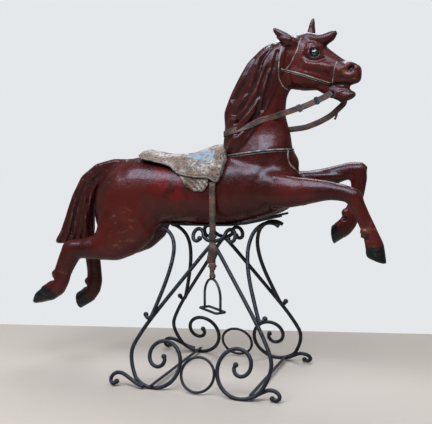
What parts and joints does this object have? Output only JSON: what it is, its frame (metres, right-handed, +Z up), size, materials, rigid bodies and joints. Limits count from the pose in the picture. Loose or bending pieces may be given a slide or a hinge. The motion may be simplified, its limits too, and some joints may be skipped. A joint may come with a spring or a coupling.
{
  "type": "carousel horse on a stand",
  "caption": "Carved and painted wooden carousel horse in mid gallop, with saddle, reins and one stirrup, on a scrolled wrought iron stand.",
  "frame": {"origin": "on the floor, below the middle of the whole work", "axes": "+X the way the horse looks, +Y out of its far (left) side, +Z up"},
  "size_m": [1.4486, 0.5748, 1.3924],
  "materials": {
    "carved_paint": "worn glossy dark red paint over carved wood, with a few scratches to the wood",
    "eye_glass": "polished dark glass",
    "saddle_hide": "worn matt painted hide, grey-brown with a light blue patch",
    "strap_leather": "dull worn strap leather",
    "tack_iron": "dark worn satin",
    "stand_iron": "black satin paint on forged round bar"
  },
  "bodies": {
    "root": {"horse": "carved_paint", "near_glass_eye": "eye_glass", "far_glass_eye": "eye_glass", "saddle": "saddle_hide", "near_saddle_flap": "saddle_hide", "far_saddle_flap": "saddle_hide", "near_rein": "strap_leather", "far_rein": "strap_leather", "rein_keeper": "strap_leather", "rein_buckle": "tack_iron", "bit": "tack_iron", "stirrup_leather": "strap_leather", "stirrup_iron": "tack_iron", "near_front_leg": "stand_iron", "near_front_brace": "stand_iron", "near_front_foot_scroll": "stand_iron", "near_back_leg": "stand_iron", "near_back_brace": "stand_iron", "near_back_foot_scroll": "stand_iron", "near_floor_ring": "stand_iron", "near_rail": "stand_iron", "far_front_leg": "stand_iron", "far_front_brace": "stand_iron", "far_front_foot_scroll": "stand_iron", "far_back_leg": "stand_iron", "far_back_brace": "stand_iron", "far_back_foot_scroll": "stand_iron", "far_floor_ring": "stand_iron", "far_rail": "stand_iron", "front_cross_bar": "stand_iron", "back_cross_bar": "stand_iron"}
  },
  "joints": []
}
